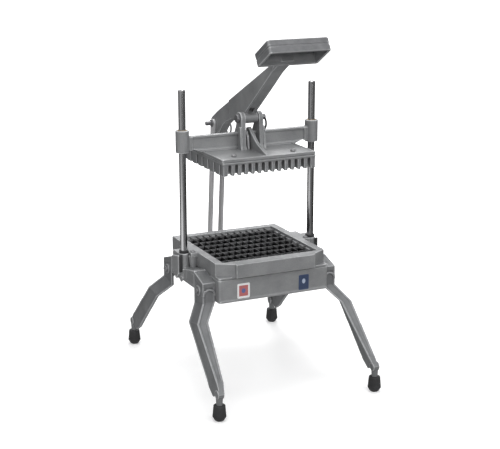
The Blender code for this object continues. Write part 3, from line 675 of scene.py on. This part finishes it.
def tray_casting():
    """The square tray that holds the blades, with a lug over each wing."""
    seam = 1.1
    solids = [slab(round_rect(SKIRT_X - seam, SKIRT_Y - seam, 2), TRAY_LOW, TRAY_FLOOR),
              slab(round_rect(SKIRT_X, SKIRT_Y, 3), TRAY_LOW + seam, TRAY_FLOOR)]
    front = [(SKIRT_X, 106.6), (SKIRT_X, -92), (76.5, -110.5), (76.5, -TRAY_FRONT)]
    solids.append(slab(both_sides(front), TRAY_FLOOR - 1, TRAY_TOP))
    cutters = [
        slab(round_rect(TRAY_IN_LOW, TRAY_IN_LOW, 2), TRAY_LOW - 10, TRAY_TOP + 10),
        slab(round_rect(TRAY_IN_TOP, TRAY_IN_TOP, 3), TRAY_LEDGE, TRAY_TOP + 10),
    ]
    reach, low, high = TRAY_IN_TOP, BLADE_LOW - GAP, TRAY_LEDGE + 1
    for x in spaced(COUNT_X, PITCH_X):
        cutters.append(block((x - SLOT_W / 2, -reach, low), (x + SLOT_W / 2, reach, high)))
    for y in spaced(COUNT_Y, PITCH_Y):
        cutters.append(block((-reach, y - SLOT_W / 2, low), (reach, y + SLOT_W / 2, high)))
    for side in (-1, 1):
        near, far = sorted((side * (SKIRT_X - 4), side * LUG_X))
        solids.append(block((near, -LUG_FRONT, LUG_LOW), (far, LUG_REAR, TRAY_TOP)))
        seat = (side * FRAME_SCREW[0], FRAME_SCREW[1], 221.2)
        solids.append(rod(seat, 5.8, 21.7, radius_top=8.6))
        cutters.append(rod((side * ROD_X, 0, TRAY_TOP), BOSS_R + 2 * GAP, THROUGH))
    return cast("tray", solids, cutters, grid=0.8, rounds=2, keep=0.30)


def comb(pitch, count, notch_from_top):
    """A blade's outline: a strip with half-lap notches where it crosses the other set."""
    middle = (BLADE_LOW + BLADE_HIGH) / 2
    edge, root = (BLADE_HIGH, middle - GAP) if notch_from_top else (BLADE_LOW, middle + GAP)
    plain = BLADE_LOW if notch_from_top else BLADE_HIGH
    points = [(-BLADE_HALF, plain), (-BLADE_HALF, edge)]
    for at in spaced(count, pitch):
        left, right = at - SLOT_W / 2, at + SLOT_W / 2
        points += [(left, edge), (left, root), (right, root), (right, edge)]
    return points + [(BLADE_HALF, edge), (BLADE_HALF, plain)]


def ground_blade(outline, at, lengthwise):
    """A blade with its upper edge ground to a wedge."""
    obj = plate(outline, BLADE_T, at) if lengthwise else beam_plate(outline, BLADE_T, at)
    bm = bmesh.new()
    bm.from_mesh(obj.data)
    wedge = (BLADE_HIGH - GRIND) * MM
    bmesh.ops.bisect_plane(bm, geom=[*bm.verts, *bm.edges, *bm.faces], plane_co=(0, 0, wedge),
                           plane_no=(0, 0, 1))
    axis = 0 if lengthwise else 1
    for vert in bm.verts:
        if vert.co.z > (BLADE_HIGH - 0.1) * MM:
            vert.co[axis] = at * MM + (vert.co[axis] - at * MM) * EDGE_LEFT
    bm.to_mesh(obj.data)
    bm.free()
    return obj


def blades(mat):
    """Both sets of blades, the crosswise ones half-lapped into the lengthwise ones."""
    for i, at in enumerate(spaced(COUNT_X, PITCH_X), 1):
        settle(ground_blade(comb(PITCH_Y, COUNT_Y, True), at, True), f"blade_lengthwise_{i:02d}", mat)
    for i, at in enumerate(spaced(COUNT_Y, PITCH_Y), 1):
        settle(ground_blade(comb(PITCH_X, COUNT_X, False), at, False), f"blade_crosswise_{i:02d}", mat)


# ---- legs -------------------------------------------------------------------------------------------
# Stations down the leg at +X +Y: outer X, inner X, upper edge (Y, Z), lower edge (Y, Z), panel depth.
LEG_STATIONS = [
    (130.5, SKIRT_X + GAP, (92.0, 204.0), (WING_Y + GAP, 216.0), 0),
    (130.5, SKIRT_X + GAP, (92.2, 197.0), (WING_Y + GAP, 207.0), 0),
    (130.5, SKIRT_X + GAP, (92.3, 193.0), (WING_Y + GAP, 202.0), 1),
    (130.5, SKIRT_X + GAP, (92.5, 169.0), (WING_Y + GAP, 160.0), 1),
    (151.5, 130.8, (117.3, 141.9), (77.2, 134.0), 1),
    (152.9, 139.3, (194.0, 70.8), (159.5, 54.5), 1),
    (153.0, 140.0, (201.0, 64.4), (166.0, 47.0), 0.1),
    (153.5, 144.0, (214.0, 48.0), (185.0, 35.0), 0),
]
LEG_WALL, PANEL_RIM, PANEL_DEPTH = 5.0, 3.4, 2.0


def leg_section(outer, inner, upper, lower, panel):
    """An angle section with a sunk panel in its side face and another in its front face."""
    upper, lower = Vector(upper), Vector(lower)
    run = (lower - upper).length
    along = (lower - upper).normalized()
    sink, rim = PANEL_DEPTH * panel, PANEL_RIM
    width = outer - inner
    rim_x = min(rim, width / 4)
    rim_s = min(rim, run / 4)
    points = [(outer, 0), (outer - rim_x, 0), (outer - rim_x - 1, sink), (inner + rim_x + 1, sink),
              (inner + rim_x, 0), (inner, 0), (inner, LEG_WALL), (outer - LEG_WALL, LEG_WALL),
              (outer - LEG_WALL, run), (outer, run), (outer, run - rim_s), (outer - sink, run - rim_s - 1),
              (outer - sink, rim_s + 1), (outer, rim_s)]
    return [(x, *(upper + along * s)) for x, s in points]


def leg_casting():
    """The leg at +X +Y: the arm, the knuckle and stem over its foot, and the pads of its bolt."""
    middle_x = (SKIRT_X + WING_X) / 2
    solids = [
        loft([leg_section(*station) for station in LEG_STATIONS]),
        rod((FOOT_X - 0.4, FOOT_Y, 46.5), 7.8, 11.5, "X"),
        rod((FOOT_X, FOOT_Y, 36), 5.5, 16, radius_top=6.2),
        rod((FOOT_X, FOOT_Y, 31), STEM_R, 29),
        rod((middle_x, LEG_BOLT_Y, LEG_BOLT_Z), 10, 22, "X"),
        rod((BOLT_SEAT - 0.5, LEG_BOLT_Y, LEG_BOLT_Z), 9, 3, "X"),
    ]
    front, back = WING_Y + 2 * GAP, 91.7
    cap = [(back, 203.4), (front, 215.4), (front, 209), (back, 197)]
    solids.append(plate(cap, 23.2, (SKIRT_X + BOLT_SEAT) / 2))
    hip_rib = arc((118.5, 181), 12.5, 0, 180, 10) + arc((118.5, 181), 9.5, 180, 0, 10)
    solids.append(beam_plate(hip_rib, 6, 90.5))
    cutters = [rod((118, LEG_BOLT_Y, LEG_BOLT_Z), BOLT_R + GAP, 60, "X")]
    return cast("leg", solids, cutters, grid=0.85, rounds=3, keep=0.40)


def rubber_foot(x, y):
    """A round foot that bulges toward the ground, with a blind hole for the leg's stem."""
    outside = arc((8.7, 26.5), 1.5, 90, 10, 5) + [(10.6, 22), (11.2, 15)]
    outside += arc((9.0, 8.2), 2.9, 15, -50, 8) + [(8.3, 1.6)] + arc((5.6, 2.2), 2.2, -40, -90, 5)
    hole = STEM_R + GAP
    profile = [(0, 16.2), (hole, 16.2), (hole, 28.0), *outside, (0, 0)]
    return turned("foot", profile, (x, y, 0), steps=72)


# ---- sliding head -----------------------------------------------------------------------------------
def head_casting():
    """The plate, the beam with its two sleeves, and the clevis with its braces, gusset and rib."""
    rim = 3.4
    solids = [slab(round_rect(PLATE_X, PLATE_Y, 3), PLATE_LOW, PLATE_HIGH + 1.4)]
    cutters = [slab(round_rect(PLATE_X - rim, PLATE_Y - rim, 4), PLATE_HIGH, PLATE_HIGH + 10)]
    body = unite("plate", solids, cutters)
    inner = ROD_X - SLEEVE_R + 2
    beam = [(inner, BEAM_TOP), (inner, SLEEVE_LOW + 4)]
    beam += arc((inner - 12, SLEEVE_LOW + 16), 12, 0, -90, 8)[1:] + [(PLATE_X - 4, PLATE_LOW + 2)]
    web = [(inner - 5, BEAM_TOP - 4.2), (inner - 5, SLEEVE_LOW + 6), (PLATE_X - 2, PLATE_HIGH + 4.5)]
    beam_cuts = [beam_plate(both_sides(web), 3, end * (BEAM_T / 2 + 0.2)) for end in (-1, 1)]
    solids = [body, unite("beam", [beam_plate(both_sides(beam), BEAM_T)], beam_cuts)]
    cutters = []
    y, z = LEVER_PIVOT
    root, middle = PLATE_HIGH - 2, (SLEEVE_LOW + SLEEVE_HIGH) / 2
    for side in (-1, 1):
        solids.append(rod((side * ROD_X, 0, middle), SLEEVE_R, SLEEVE_HIGH - SLEEVE_LOW))
        near, far = sorted((side * SLEEVE_ROOT, side * (ROD_X - 6)))
        solids.append(block((near, -6.5, SLEEVE_LOW + 3), (far, 6.5, BEAM_TOP - 1)))
        cutters.append(rod((side * ROD_X, 0, middle), BUSH_R + GAP, THROUGH))
        ear = [(-25, root), (-20, PLATE_HIGH + 8), (y - 12, z - 14), (y - EAR_R, z)]
        ear += arc((y, z), EAR_R, 180, 0, 16)[1:] + [(y + EAR_R, z - 12), (30, root)]
        solids.append(plate(ear, EAR_OUT - EAR_IN, side * (EAR_IN + EAR_OUT) / 2))
        brace = [(-26, root), (-21, PLATE_HIGH + 8), (y - 13, z - 14), (y - 6, z - 14),
                 (-10, PLATE_HIGH + 8), (-10, root)]
        solids.append(plate(brace, 3.4, side * (EAR_OUT + 1.2)))
        for end in (-1, 1):
            seat = (side * PUSHER_SCREW_X, end * PUSHER_SCREW_Y, PLATE_HIGH - 0.5)
            solids.append(rod(seat, 7, 1.0, radius_top=6.4))
    gusset = [(4, root), (4, 452), (-6, 455), (-26, 440), (-40, 431), (-82, PLATE_HIGH), (-82, root)]
    solids.append(plate(gusset, 6))
    rib = [(4, root), (4, 449), (-9, 449), (-17, 440), (-21, root)]
    solids.append(plate(rib, 3.6, -8))
    cutters.append(rod((0, y, z), PIN_R + GAP, THROUGH, "X"))
    return cast("head", solids, cutters, grid=0.8, rounds=3, keep=0.32)


def finger_casting():
    """Fingers, one for each opening of the blade grid, with arched gaps between them."""
    solids = [
        slab(round_rect(BLOCK_HALF, BLOCK_HALF, 2), FINGER_TIP, BLOCK_TOP),
        slab(round_rect(BLOCK_HALF + 0.9, BLOCK_HALF + 0.9, 2.5), BLOCK_ROOF + 0.8, BLOCK_TOP - 0.2),
    ]
    cutters = []
    half, flare = FINGER_GAP / 2, FINGER_GAP / 2 + 0.9
    gap = [(flare, FINGER_TIP - 3), (flare, FINGER_TIP), (half, FINGER_TIP + 5)]
    gap += arc((0, BLOCK_ROOF - half), half, 0, 90, 6)
    for at in spaced(COUNT_X, PITCH_X):
        cutters.append(beam_plate([(x + at, z) for x, z in both_sides(gap[:-1])], 2 * THROUGH))
    for at in spaced(COUNT_Y, PITCH_Y):
        cutters.append(plate([(y + at, z) for y, z in both_sides(gap[:-1])], 2 * THROUGH))
    return cast("fingers", solids, cutters, grid=0.75, rounds=2, keep=0.20)


def pan_screw(place, head_r, head_h, length):
    """A cross-recessed pan-head screw that stands on Z."""
    x, y, z = place
    long, thin = 2.4, 0.55
    dome = [(0, head_h)] + arc((head_r - head_h * 0.8, head_h * 0.2), head_h * 0.8, 90, 0, 8) + [(head_r, 0)]
    body = turned("screw", dome + [(SCREW_R, 0), (SCREW_R, -length), (0, -length)], place, steps=40)
    low, high = z + head_h - 1.5, z + head_h + 2
    cross = [block((x - a, y - b, low), (x + a, y + b, high)) for a, b in ((long, thin), (thin, long))]
    return bevelled(unite("screw", [body], cross), 0.12, 1)


def hex_bolt(side, end):
    """A hexagon bolt on a washer, lying along X."""
    washer = rod((BOLT_SEAT + 0.7, 0, 0), 5.8, 1.4, "X")
    head = rod((BOLT_SEAT + 2.6, 0, 0), 5.3, 3.2, "X", sides=6)
    shank = rod((BOLT_SEAT - 15.5, 0, 0), BOLT_R, 33, "X")
    body = bevelled(unite("bolt", [washer, head, shank]), 0.3, 2)
    body.data.transform(Matrix.Translation(Vector((0, LEG_BOLT_Y, LEG_BOLT_Z)) * MM))
    return mirrored_into(body, side, end)


def mirrored_into(obj, x, y):
    """Replace a piece by its mirror image."""
    new = mirrored(obj, x, y)
    bpy.data.objects.remove(obj, do_unlink=True)
    return new


def split_ring(place):
    """A split ring of two close turns, hanging through its pin in the YZ plane."""
    curve = bpy.data.curves.new("ring", "CURVE")
    curve.dimensions = "3D"
    curve.bevel_depth = RING_WIRE * MM
    curve.bevel_resolution = 4
    curve.use_fill_caps = True
    turns, steps, rise = 1.9, 96, 2.0 * RING_WIRE
    spline = curve.splines.new("POLY")
    spline.points.add(steps)
    for i, point in enumerate(spline.points):
        angle = 2 * pi * turns * i / steps
        shift = (i / steps - 0.5) * rise
        point.co = (shift * MM, RING_R * sin(angle) * MM, RING_R * (cos(angle) - 1) * MM, 1)
    obj = bpy.data.objects.new("ring", curve)
    bpy.context.scene.collection.objects.link(obj)
    new = evaluated(obj, "ring")
    new.data.transform(Matrix.Translation(Vector(place) * MM))
    new.data.shade_smooth()
    return new


def guide_rod(x):
    """A guide rod, chamfered at the top round a shallow centre mark."""
    chamfer = 1.2
    profile = [(0, ROD_TOP - 0.4), (1.6, ROD_TOP - 0.4), (2.0, ROD_TOP), (ROD_R - chamfer, ROD_TOP),
               (ROD_R, ROD_TOP - chamfer), (ROD_R, ROD_LOW), (0, ROD_LOW)]
    return turned("rod", profile, (x, 0, 0), steps=96)


def rod_bumper(x):
    """A rubber ring round the foot of a guide rod."""
    bore, middle, edge = 6.6, 7.4, 1.2
    low = BOSS_TOP + GAP
    high = low + 4.8
    profile = [(bore, high)] + arc((middle, high - edge), edge, 90, 0, 5)
    profile += arc((middle, low + edge), edge, 0, -90, 5) + [(bore, low), (bore, high)]
    return turned("bumper", profile, (x, 0, 0))


def rod_pad(side):
    """The black strip beside a rod boss."""
    low, high = sorted((side * PAD_X[0], side * PAD_X[1]))
    return bevelled(block((low, PAD_Y[0], PAD_Z[0]), (high, PAD_Y[1], PAD_Z[1])), 0.9, 4)


def bushing(x):
    """A bushing whose upper rim stands just out of the sleeve."""
    rim = SLEEVE_HIGH + 0.2
    profile = [(BUSH_BORE, rim), (BUSH_R - 0.2, rim), (BUSH_R, SLEEVE_HIGH), (BUSH_R, SLEEVE_LOW),
               (BUSH_BORE, SLEEVE_LOW), (BUSH_BORE, rim)]
    return turned("bush", profile, (x, 0, 0))


def pin_piece(profile, pivot):
    """A turned piece lying along X on a pivot."""
    return turned("pin", profile, (0, *pivot), "X", 48)


def link_pin():
    """A pin peened into a dome at each end."""
    end, dome, flat = 13.2, 3, 3.5
    profile = [(0, end + dome)] + arc((flat, end), dome, 90, 0, 8) + [(LINK_PIN_R, end), (LINK_PIN_R, -end)]
    profile += arc((flat, -end), dome, 0, -90, 8) + [(0, -end - dome)]
    return pin_piece(profile, LINK_PIVOT)


def lever_pin():
    """A pin with a flat head on the left and a rounded end on the right."""
    profile = [(0, 30)] + arc((PIN_R - 1.2, 28.8), 1.2, 90, 0, 4) + [(PIN_R, -22), (7.2, -22)]
    profile += arc((6.2, -26), 1.0, 0, -90, 4) + [(0, -27)]
    return pin_piece(profile, LEVER_PIVOT)


def rear_pin():
    """The middle of the rear pin, that the lever carries."""
    half = LUG_HALF
    edge = PIN_R - 0.2
    profile = [(0, half), (edge, half), (PIN_R, half - 0.2), (PIN_R, 0.2 - half), (edge, -half), (0, -half)]
    return pin_piece(profile, REAR_PIVOT)


def rear_pin_end(side):
    """One end of the rear pin, that a link carries: a shoulder outside the link and a stub beyond it."""
    reach, radius = (26, 4.0) if side < 0 else (24, 5.0)
    profile = [(0, reach)] + arc((radius - 1, reach - 1), 1, 90, 0, 4) + [(radius, 15.6), (6.0, 15.6)]
    profile += [(SHOULDER_R, 14.9), (SHOULDER_R, 13.3), (PIN_R, 13.3), (PIN_R, 9.0), (0, 9.0)]
    stub = pin_piece(profile, REAR_PIVOT)
    return mirrored_into(stub, -1, 1) if side < 0 else stub


# ---- lever ------------------------------------------------------------------------------------------
def grip_point(along, down):
    """Y, Z of a point in the grip's own frame: along its top from the rear edge, and down from it."""
    return (GRIP_REAR[0] - along * cos(GRIP_TILT) - down * sin(GRIP_TILT),
            GRIP_REAR[1] + along * sin(GRIP_TILT) - down * cos(GRIP_TILT))


def grip_loft(stations, half, start, end, radius):
    """Stacked rounded outlines in the grip's frame: stations are (down, inset)."""
    middle, reach = (start + end) / 2, (end - start) / 2
    rings = []
    for down, inset in stations:
        outline = round_rect(half, reach, radius, inset)
        rings.append([(x, *grip_point(middle + along, down)) for x, along in outline])
    return loft(rings)


def lever_casting():
    """The arm, the eye at its rear end and the hollow grip, in one piece."""
    slope, knee = 0.495, (114, 466.5)

    def top(y):
        return knee[1] + (knee[0] - y) * slope

    y, z = LEVER_PIVOT
    under = [(-168, 596), (-150, 587), (-116, 566), (-14, 485.5)]
    belly = [(6, 466.5), (29, 465.5), (54, 460), (80, 451.5), (94, 443), (110, 426.5)]
    eye = arc((REAR_PIVOT[0], REAR_PIVOT[1] - 4), EYE_R, 225, 405, 20)
    outline = [knee, (-150, top(-150)), (-168, 606)] + under + belly + eye
    web = plate(outline, 2 * LUG_HALF)
    front = [(60, top(60)), (-150, top(-150)), (-168, 606)] + under + belly[:3]
    arm = plate(front, 2 * ARM_HALF)
    deep = GRIP_T + GRIP_LIP
    stations = [(0, 1.8), (0.3, 1.0), (1.0, 0.3), (2.0, 0), (9.6, 0), (10.6, 0.9), (12.0, 0.9), (13.2, 0),
                (deep - 0.8, 0), (deep, 0.5)]
    shell = grip_loft(stations, GRIP_HALF, 0, GRIP_LENGTH, 4)
    w = GRIP_WALL
    palm = grip_loft([(w, w + 4), (w + 3, w + 1.5), (GRIP_T - 6, w), (GRIP_T + 20, w)],
                     GRIP_HALF, 0, GRIP_LENGTH, 6)
    grip = unite("grip", [shell], [palm])
    # The arm widens where it runs into the grip.
    rings = []
    for i, half in ((0, 11.4), (24, 12.6), (48, 17)):
        y_at, low, high = -104 - 0.7 * i, 559 + 0.5 * i, 572 + 0.49 * i
        rings.append([(-half, y_at, low), (half, y_at, low), (half, y_at, high), (-half, y_at, high)])
    spread = loft(rings)
    solids = [web, arm, rod((0, y, z), 9.5, 2 * (EAR_IN - 0.4), "X"), grip, spread]
    # The arm's lower edge is hollowed just above the pivot, and the inside of the grip is kept clear of it.
    channel = [(-20, top(-20) - 24), (4, top(4) - 16), (2, 489), (-16, 475), (-20, 480)]
    hand_room = grip_loft([(w + 0.2, w + 0.6), (GRIP_T + 20, w + 0.6)], GRIP_HALF, 0.8, GRIP_LENGTH, 6)
    holes = [rod((0, y, z), PIN_R + 0.1, THROUGH, "X"), rod((0, *REAR_PIVOT), PIN_R + GAP, THROUGH, "X")]
    cutters = [hand_room, plate(channel, 11), *holes]
    return cast("lever", solids, cutters, grid=0.8, rounds=3, keep=0.30)


def link_bar(side):
    """A flat bar with round ends, leaning from the lug to the lever."""
    (by, bz), (ay, az) = LINK_PIVOT, REAR_PIVOT
    lean = degrees(atan2(az - bz, ay - by))
    outline = arc((ay, az), LINK_HALF, lean - 90, lean + 90, 20)
    outline += arc((by, bz), LINK_HALF, lean + 90, lean + 270, 20)
    x = side * LINK_X
    holes = [rod((x, ay, az), PIN_R + GAP, 20, "X"), rod((x, by, bz), LINK_PIN_R + 0.08, 20, "X")]
    return bevelled(unite("link", [plate(outline, LINK_T, x)], holes), 0.5)


# ---- the whole --------------------------------------------------------------------------------------
def label(name, x, z, width, height, mat):
    """A thin printed label on the skirt's front face."""
    outline = [(x + a, z + b) for a, b in round_rect(width / 2, height / 2, 2.4)]
    obj = bevelled(beam_plate(outline, 0.25, -SKIRT_Y - 0.16), 0.08, 1)
    obj.name = name
    obj.data.materials.append(mat)
    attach(obj, "base")


# Tones of each casting: its grain from dark to pale, and the painted highlight along its arrises.
CASTING = ((0.25, 0.255, 0.26), (0.34, 0.345, 0.35), (0.72, 0.73, 0.74))
LEG_CASTING = ((0.17, 0.175, 0.18), (0.24, 0.245, 0.25), (0.62, 0.63, 0.64))
FINGER_CASTING = ((0.22, 0.225, 0.23), (0.30, 0.305, 0.31), (0.60, 0.61, 0.62))
LEVER_CASTING = ((0.26, 0.265, 0.27), (0.35, 0.355, 0.36), (0.72, 0.73, 0.74))


def corner_pieces(leg_metal, screw_steel, rubber):
    """The leg, its bolt and foot, and the finger block's screw, at each corner."""
    leg = leg_casting()
    for name, x, y in CORNERS:
        settle(mirrored(leg, x, y), f"leg_{name}", leg_metal)
        settle(hex_bolt(x, y), f"leg_bolt_{name}", screw_steel)
        settle(rubber_foot(x * FOOT_X, y * FOOT_Y), f"foot_{name}", rubber)
        seat = (x * PUSHER_SCREW_X, y * PUSHER_SCREW_Y, PLATE_HIGH + 0.6)
        settle(pan_screw(seat, 4.6, 3.5, 12.5), f"pusher_screw_{name}", screw_steel)
    bpy.data.objects.remove(leg, do_unlink=True)


def build():
    """Every piece, with its material."""
    casting = cast_metal("cast_aluminium", *CASTING)
    leg_metal = cast_metal("leg_aluminium", *LEG_CASTING)
    finger_metal = cast_metal("finger_aluminium", *FINGER_CASTING)
    rod_steel = drawn_steel("ground_steel", (0.60, 0.60, 0.61), 0.18, 0.21, (1, 1, 0.05))
    link_steel = drawn_steel("drawn_steel", (0.72, 0.72, 0.73), 0.42, 0.54, (10, 10, 0.5), 0.25)
    blade_steel = drawn_steel("blade_steel", (0.20, 0.20, 0.205), 0.30, 0.5, (0.6, 0.6, 12))
    screw_steel = drawn_steel("screw_steel", (0.36, 0.36, 0.37), 0.42, 0.6, (1, 1, 1), 0.8)
    dark_steel = drawn_steel("blackened_steel", (0.06, 0.06, 0.065), 0.3, 0.5, (6, 1, 1))
    pin_steel = drawn_steel("pin_steel", (0.26, 0.26, 0.27), 0.35, 0.5, (6, 1, 1), 0.7)
    bronze = drawn_steel("bearing_bronze", (0.42, 0.30, 0.15), 0.3, 0.45, (1, 1, 8))
    rubber = black_rubber()

    settle(base_casting(), "base_frame", casting)
    settle(tray_casting(), "blade_frame", casting)
    blades(blade_steel)
    corner_pieces(leg_metal, screw_steel, rubber)
    for name, side in SIDES:
        x = side * ROD_X
        settle(guide_rod(x), f"guide_rod_{name}", rod_steel)
        settle(rod_bumper(x), f"rod_bumper_{name}", rubber)
        settle(rod_pad(side), f"rod_pad_{name}", rubber)
        settle(bushing(x), f"sleeve_bushing_{name}", bronze)
        seat = (side * FRAME_SCREW[0], FRAME_SCREW[1], TRAY_TOP + 0.1)
        settle(pan_screw(seat, 4.5, 2.8, 31.5), f"frame_screw_{name}", screw_steel)
        settle(link_bar(side), f"link_{name}", link_steel)
    settle(link_pin(), "link_pin", screw_steel)

    settle(head_casting(), "pusher_head", casting)
    settle(finger_casting(), "pusher_block", finger_metal)
    settle(lever_pin(), "lever_pin", pin_steel)
    settle(split_ring((26.5, *LEVER_PIVOT)), "lever_pin_clip", dark_steel)

    # From 0.583 m up, the grip has painted shade and mottling.
    lever_metal = cast_metal("lever_aluminium", *LEVER_CASTING, 0.583)
    settle(lever_casting(), "lever", lever_metal)
    settle(rear_pin(), "rear_pin", dark_steel)
    for name, side in SIDES:
        settle(rear_pin_end(side), f"rear_pin_end_{name}", pin_steel)
    settle(split_ring((20.5, *REAR_PIVOT)), "rear_pin_clip", pin_steel)

    red = label_print("red_label", (0.80, 0.80, 0.80), (0.46, 0.13, 0.13), (0.10, 0.13, 0.30),
                      (0.5, 0.5), (0.36, 0.36))
    blue = label_print("blue_label", (0.03, 0.055, 0.13), (0.02, 0.04, 0.10), (0.40, 0.46, 0.58),
                       (0.5, 0.58), (0.44, 0.44))
    label("front_sticker", -60, 187.5, 24, 27, red)
    label("front_badge", 58, 187, 20, 28, blue)


camera()
studio()
floor_sheet()
build()
